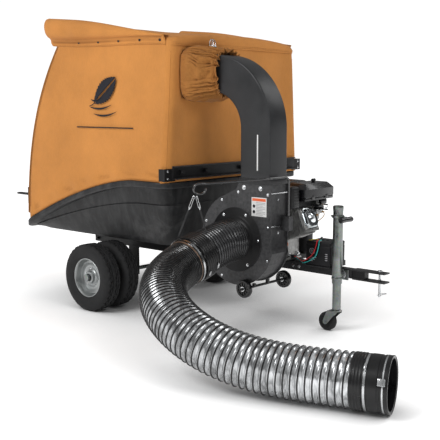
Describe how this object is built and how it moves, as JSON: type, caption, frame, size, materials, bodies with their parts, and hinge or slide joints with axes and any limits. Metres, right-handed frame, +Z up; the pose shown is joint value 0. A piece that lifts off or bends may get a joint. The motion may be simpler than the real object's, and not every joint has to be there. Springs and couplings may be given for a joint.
{
  "type": "leaf vacuum mulcher",
  "caption": "Towable leaf vacuum mulcher: engine-driven blower with a suction hose and chute filling a canvas-hooded dump tub on dual wheels, with jack and clevis hitch.",
  "frame": {"origin": "centre of the whole machine's box at ground level", "axes": "+X forward to the hitch, +Y to the machine's left, +Z up"},
  "size_m": [3.0966, 2.016, 1.7208],
  "materials": {
    "tyre": "matte black rubber with moulded tread",
    "zinc_steel": "zinc-plated steel, satin",
    "black_paint": "black powder coat, semi-gloss",
    "chute_paint": "dark grey powder coat, satin",
    "impeller_steel": "bare welded steel",
    "cast_aluminium": "die-cast, satin",
    "black_plastic": "fine-textured black plastic",
    "orange_plastic": "orange moulded plastic",
    "lead_insulation": "smooth coloured wire insulation",
    "hose_wall": "clear grey flexible wall with black ribs",
    "coupling_rubber": "black rubber, satin",
    "strap_webbing": "woven black webbing",
    "tub_poly": "rotationally moulded black polyethylene, mottled",
    "canvas": "coated tan duck canvas with stitched seams"
  },
  "bodies": {
    "root": {"tongue": "black_paint", "chassis_frame": "black_paint", "axle": "zinc_steel", "hitch_clevis": "black_paint", "jack_bracket": "zinc_steel", "blower_front_plate": "black_paint", "blower_scroll": "black_paint", "blower_back_plate": "black_paint", "inlet_ring": "black_paint", "chute": "chute_paint", "stand_axle": "black_paint", "engine_base": "black_paint", "engine_crankcase": "cast_aluminium", "valve_cover": "zinc_steel", "fan_housing": "black_plastic", "fuel_tank": "black_plastic", "air_cleaner": "black_plastic", "muffler": "black_paint", "carburettor": "cast_aluminium", "oil_dipstick": "orange_plastic", "battery": "black_plastic", "battery_leads": "lead_insulation", "hose_upper": "hose_wall", "hose_coupling": "coupling_rubber", "hose_lower": "hose_wall", "hose_nozzle": "coupling_rubber", "hose_strap_front": "strap_webbing", "hose_strap_rear": "strap_webbing"},
    "wheel_outer_right": {"tyre_outer_right": "tyre", "rim_outer_right": "zinc_steel"},
    "wheel_inner_right": {"tyre_inner_right": "tyre", "rim_inner_right": "zinc_steel"},
    "wheel_outer_left": {"tyre_outer_left": "tyre", "rim_outer_left": "zinc_steel"},
    "wheel_inner_left": {"tyre_inner_left": "tyre", "rim_inner_left": "zinc_steel"},
    "tub_body": {"tub": "tub_poly", "tub_subframe": "black_paint", "hood_canvas": "canvas", "hood_frame": "black_paint", "front_rail": "black_paint", "inlet_sleeve": "canvas"},
    "door": {"rear_door": "canvas", "door_bar": "black_paint"},
    "dump_latch": {"dump_latch": "black_paint"},
    "jack_body": {"jack_tube": "zinc_steel"},
    "jack_crank": {"jack_crank": "zinc_steel"},
    "jack_leg": {"jack_leg": "zinc_steel"},
    "caster_fork": {"caster_fork": "zinc_steel"},
    "caster_wheel": {"caster_wheel": "tyre"},
    "impeller": {"impeller": "impeller_steel"},
    "stand_wheel_right": {"stand_wheel_right": "black_plastic"},
    "stand_wheel_left": {"stand_wheel_left": "black_plastic"},
    "boom": {"hose_boom": "black_paint"},
    "hitch_pin": {"hitch_pin": "zinc_steel"},
    "recoil_grip": {"recoil_grip": "black_plastic"},
    "fuel_cap": {"fuel_cap": "black_plastic"},
    "air_cleaner_knob": {"air_cleaner_knob": "black_plastic"},
    "choke_lever": {"choke_lever": "black_plastic"},
    "throttle_lever": {"throttle_lever": "black_plastic"}
  },
  "joints": [
    {"name": "wheel_outer_right_spin", "type": "hinge", "parent": "root", "child": "wheel_outer_right", "pos_m": [-0.7511, -0.2955, 0.203], "axis": [0, 1, 0], "continuous": true},
    {"name": "wheel_inner_right_spin", "type": "hinge", "parent": "root", "child": "wheel_inner_right", "pos_m": [-0.7511, -0.1455, 0.203], "axis": [0, 1, 0], "continuous": true},
    {"name": "wheel_outer_left_spin", "type": "hinge", "parent": "root", "child": "wheel_outer_left", "pos_m": [-0.7511, 0.9505, 0.203], "axis": [0, 1, 0], "continuous": true},
    {"name": "wheel_inner_left_spin", "type": "hinge", "parent": "root", "child": "wheel_inner_left", "pos_m": [-0.7511, 0.8005, 0.203], "axis": [0, 1, 0], "continuous": true},
    {"name": "tub_tilt", "type": "hinge", "parent": "root", "child": "tub_body", "pos_m": [-1.0811, 0.3275, 0.3665], "axis": [0, -1, 0], "range_deg": [0, 45], "deforming": ["inlet_sleeve"]},
    {"name": "door_hinge", "type": "hinge", "parent": "tub_body", "child": "door", "pos_m": [-1.0391, 0.3275, 1.68], "axis": [0, 1, 0], "range_deg": [0, 80]},
    {"name": "latch_turn", "type": "hinge", "parent": "root", "child": "dump_latch", "pos_m": [-0.1331, 0.2175, 0.3665], "axis": [0, 1, 0], "range_deg": [0, 30]},
    {"name": "jack_swivel", "type": "hinge", "parent": "root", "child": "jack_body", "pos_m": [0.6379, 0.2541, 0.315], "axis": [0, 1, 0], "range_deg": [0, 70]},
    {"name": "crank_turn", "type": "hinge", "parent": "jack_body", "child": "jack_crank", "pos_m": [0.6379, 0.2541, 0.637], "axis": [0, 0, 1], "range_deg": [0, 1440]},
    {"name": "leg_lift", "type": "slide", "parent": "jack_body", "child": "jack_leg", "axis": [0, 0, 1], "range_m": [0, 0.121]},
    {"name": "caster_swivel", "type": "hinge", "parent": "jack_leg", "child": "caster_fork", "pos_m": [0.6379, 0.2541, 0.12], "axis": [0, 0, 1], "continuous": true},
    {"name": "caster_roll", "type": "hinge", "parent": "caster_fork", "child": "caster_wheel", "pos_m": [0.5829, 0.2541, 0.0525], "axis": [0, 1, 0], "continuous": true},
    {"name": "impeller_spin", "type": "hinge", "parent": "root", "child": "impeller", "pos_m": [0.1789, 0.0275, 0.5], "axis": [0, 1, 0], "continuous": true},
    {"name": "stand_wheel_right_spin", "type": "hinge", "parent": "root", "child": "stand_wheel_right", "pos_m": [0.2559, -0.0745, 0.238], "axis": [0, 1, 0], "continuous": true},
    {"name": "stand_wheel_left_spin", "type": "hinge", "parent": "root", "child": "stand_wheel_left", "pos_m": [0.2559, 0.2795, 0.238], "axis": [0, 1, 0], "continuous": true},
    {"name": "boom_swing", "type": "hinge", "parent": "root", "child": "boom", "pos_m": [0.4459, 0.0655, 0.7], "axis": [0, 0, 1], "range_deg": [0, 15], "deforming": ["hose_strap_front", "hose_strap_rear"]},
    {"name": "pin_lift", "type": "slide", "parent": "root", "child": "hitch_pin", "axis": [0, 0, 1], "range_m": [0, 0.05]},
    {"name": "recoil_pull", "type": "slide", "parent": "root", "child": "recoil_grip", "axis": [0.8, 0, 0.6], "range_m": [0, 0.35], "stiffness_N_per_m": 40},
    {"name": "fuel_cap_turn", "type": "hinge", "parent": "root", "child": "fuel_cap", "pos_m": [0.1539, 0.3475, 0.8], "axis": [0, 0, 1], "range_deg": [0, 90]},
    {"name": "air_cleaner_knob_turn", "type": "hinge", "parent": "root", "child": "air_cleaner_knob", "pos_m": [0.3789, 0.3875, 0.8], "axis": [0, 0, 1], "continuous": true},
    {"name": "choke_turn", "type": "hinge", "parent": "root", "child": "choke_lever", "pos_m": [0.3989, 0.44, 0.668], "axis": [0, -1, 0], "range_deg": [0, 35]},
    {"name": "throttle_turn", "type": "hinge", "parent": "root", "child": "throttle_lever", "pos_m": [0.3989, 0.44, 0.64], "axis": [0, 1, 0], "range_deg": [0, 45]}
  ],
  "couplings": [
    {"joint": "leg_lift", "follows": "crank_turn", "m_per_rad": 0.00477}
  ]
}
